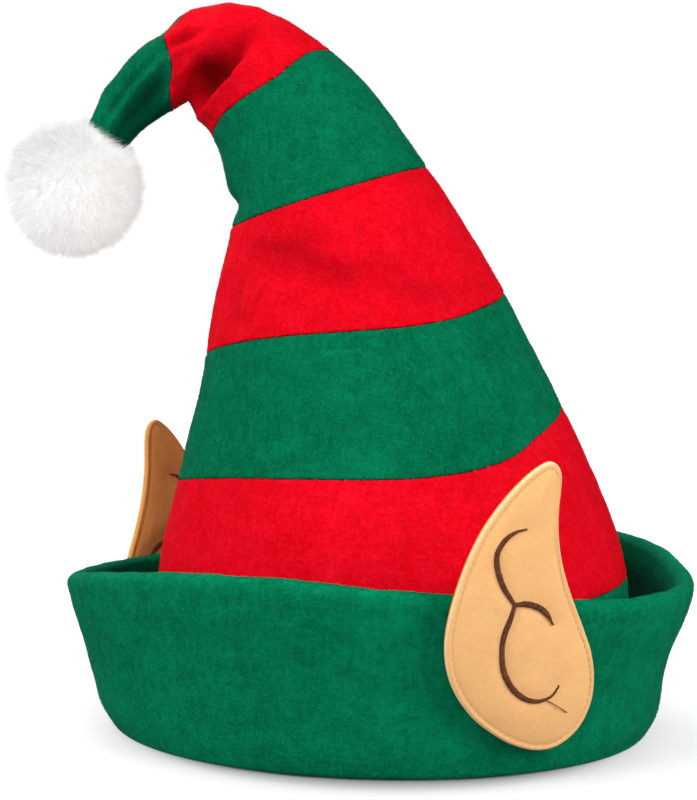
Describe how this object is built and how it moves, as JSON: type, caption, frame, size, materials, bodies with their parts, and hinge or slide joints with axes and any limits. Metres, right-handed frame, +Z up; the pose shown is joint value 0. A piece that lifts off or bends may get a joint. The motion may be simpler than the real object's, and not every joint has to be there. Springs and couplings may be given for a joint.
{
  "type": "elf hat",
  "caption": "Striped plush elf hat with a flaring turned-up cuff, a bent-over peak ending in a pompom, and padded pointed ears.",
  "frame": {"origin": "middle of the whole hat's footprint, on the surface that its rim rests on", "axes": "+Z up; -Y is the front, the side that the picture shows; the peak falls towards -X"},
  "size_m": [0.269, 0.248, 0.2756],
  "materials": {
    "green_plush": "short-pile plush",
    "red_plush": "short-pile plush",
    "ear_suede": "padded artificial suede",
    "embroidery_thread": "satin-stitch thread",
    "pompom_fur": "long-pile artificial fur"
  },
  "bodies": {
    "root": {"cuff": "green_plush", "head_band": "green_plush", "band_1_red": "red_plush", "band_2_green": "green_plush", "band_3_red": "red_plush", "band_4_green": "green_plush", "band_5_red": "red_plush", "tip_green": "green_plush", "pompom": "pompom_fur", "near_ear": "ear_suede", "near_ear_stitching_outside": "embroidery_thread", "near_ear_stitching_inside": "embroidery_thread", "far_ear": "ear_suede", "far_ear_stitching_outside": "embroidery_thread", "far_ear_stitching_inside": "embroidery_thread"}
  },
  "joints": []
}
